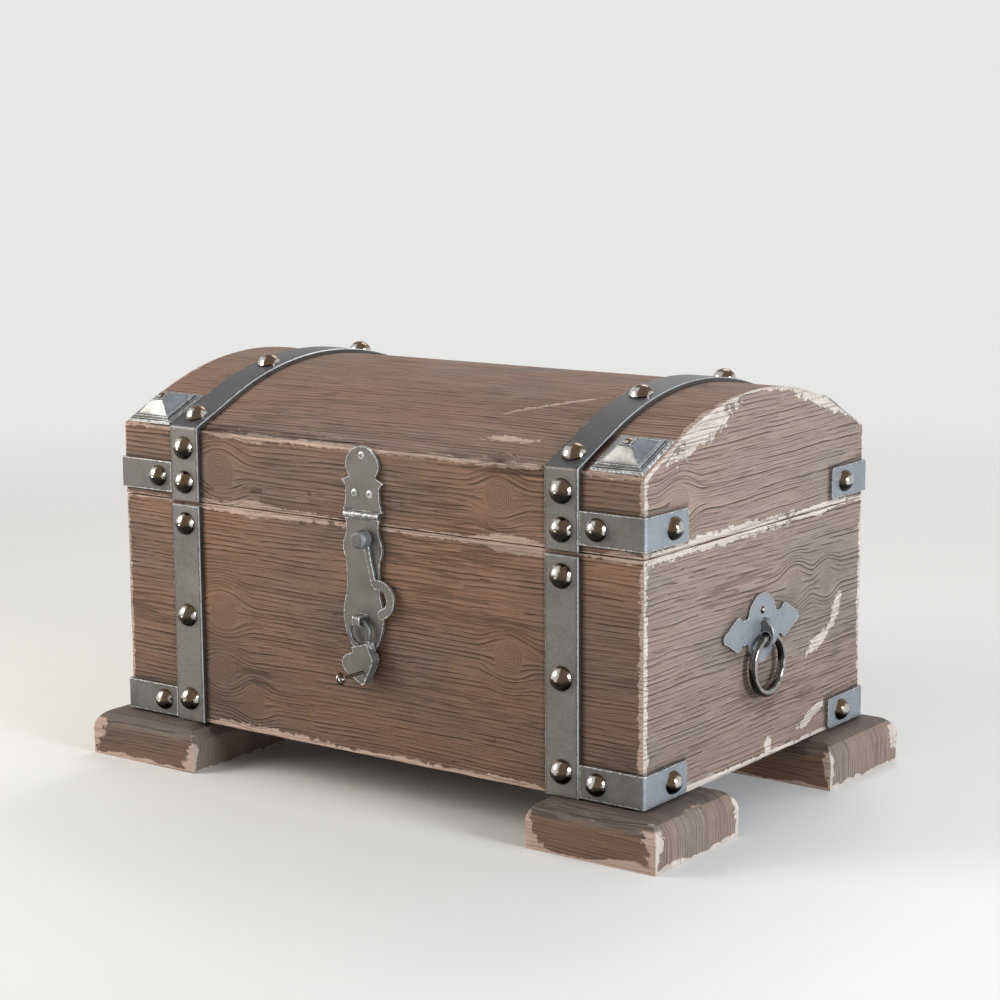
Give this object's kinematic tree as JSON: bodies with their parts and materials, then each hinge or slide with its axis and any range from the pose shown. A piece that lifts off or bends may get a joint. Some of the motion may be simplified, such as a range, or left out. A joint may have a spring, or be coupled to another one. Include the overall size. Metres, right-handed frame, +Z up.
{
  "type": "domed ark chest",
  "caption": "Small boarded ark chest on block feet with an arched lid, iron straps, domed nails, ring handles, a hinged hasp, swing hook and heart padlock.",
  "frame": {"origin": "on the floor under the middle of the chest's body, between the four feet", "axes": "X runs along the front to the right, Y from front to back, Z up"},
  "size_m": [0.6592, 0.4587, 0.3897],
  "materials": {
    "stained_wood": "weathered brown stain, pale where worn at the edges",
    "strap_steel": "satin, bright bevelled edges",
    "dark_iron": "rough, bright worn edges",
    "polished_nickel": "polished"
  },
  "bodies": {
    "chest": {"body_back_board": "stained_wood", "body_bracket_nails": "polished_nickel", "body_corner_brackets": "dark_iron", "body_front_board": "stained_wood", "body_left_end_board": "stained_wood", "body_right_end_board": "stained_wood", "body_strap_back_left": "strap_steel", "body_strap_back_right": "strap_steel", "body_strap_front_left": "strap_steel", "body_strap_front_right": "strap_steel", "body_strap_nails": "polished_nickel", "floor_plank_1": "stained_wood", "floor_plank_2": "stained_wood", "floor_plank_3": "stained_wood", "foot_back_left": "stained_wood", "foot_back_right": "stained_wood", "foot_front_left": "stained_wood", "foot_front_right": "stained_wood", "foot_screws": "dark_iron", "hinge_body_leaves": "dark_iron", "hinge_body_screws": "dark_iron", "hinge_pins": "dark_iron", "ring_eye_left": "polished_nickel", "ring_eye_right": "polished_nickel", "ring_plate_left": "dark_iron", "ring_plate_nails": "polished_nickel", "ring_plate_right": "dark_iron"},
    "lid": {"hasp_pin": "dark_iron", "hasp_screws": "polished_nickel", "hasp_top_plate": "dark_iron", "hinge_lid_leaves": "dark_iron", "hinge_lid_screws": "dark_iron", "lid_back_rail": "stained_wood", "lid_boss_nails": "polished_nickel", "lid_bracket_nails": "polished_nickel", "lid_corner_bosses": "dark_iron", "lid_corner_brackets": "dark_iron", "lid_front_rail": "stained_wood", "lid_left_end_board": "stained_wood", "lid_right_end_board": "stained_wood", "lid_stave_1": "stained_wood", "lid_stave_2": "stained_wood", "lid_stave_3": "stained_wood", "lid_stave_4": "stained_wood", "lid_stave_5": "stained_wood", "lid_stave_6": "stained_wood", "lid_stave_7": "stained_wood", "lid_strap_left": "strap_steel", "lid_strap_nails": "polished_nickel", "lid_strap_right": "strap_steel"},
    "hasp": {"hasp_flap": "dark_iron", "hasp_stud": "polished_nickel", "hasp_staple": "dark_iron"},
    "swing_hook": {"swing_hook": "dark_iron"},
    "padlock_shackle": {"padlock_shackle": "polished_nickel"},
    "padlock": {"padlock_body": "dark_iron"},
    "key": {"padlock_key": "polished_nickel"},
    "left_ring": {"ring_left": "polished_nickel"},
    "right_ring": {"ring_right": "polished_nickel"}
  },
  "joints": [
    {"name": "lid_hinge", "type": "hinge", "parent": "chest", "child": "lid", "pos_m": [0, 0.1949, 0.2598], "axis": [-1, 0, 0], "range_deg": [0, 100]},
    {"name": "hasp_hinge", "type": "hinge", "parent": "lid", "child": "hasp", "pos_m": [0, -0.194, 0.2685], "axis": [-1, 0, 0], "range_deg": [0, 110]},
    {"name": "hook_pivot", "type": "hinge", "parent": "hasp", "child": "swing_hook", "pos_m": [0.005, -0.197, 0.248], "axis": [0, -1, 0], "range_deg": [0, 70]},
    {"name": "padlock_swing", "type": "hinge", "parent": "hasp", "child": "padlock_shackle", "pos_m": [0, -0.2001, 0.1727], "axis": [-1, 0, 0], "range_deg": [0, 70]},
    {"name": "shackle_hinge", "type": "hinge", "parent": "padlock_shackle", "child": "padlock", "pos_m": [-0.00123, -0.2001, 0.1441], "axis": [0, 1, 0], "range_deg": [0, 45]},
    {"name": "key_turn", "type": "hinge", "parent": "padlock", "child": "key", "pos_m": [0.00764, -0.2051, 0.12692], "axis": [0, 1, 0], "range_deg": [0, 90]},
    {"name": "left_ring_swing", "type": "hinge", "parent": "chest", "child": "left_ring", "pos_m": [-0.309, 0, 0.1609], "axis": [0, 1, 0], "range_deg": [0, 90]},
    {"name": "right_ring_swing", "type": "hinge", "parent": "chest", "child": "right_ring", "pos_m": [0.309, 0, 0.1609], "axis": [0, -1, 0], "range_deg": [0, 90]}
  ]
}
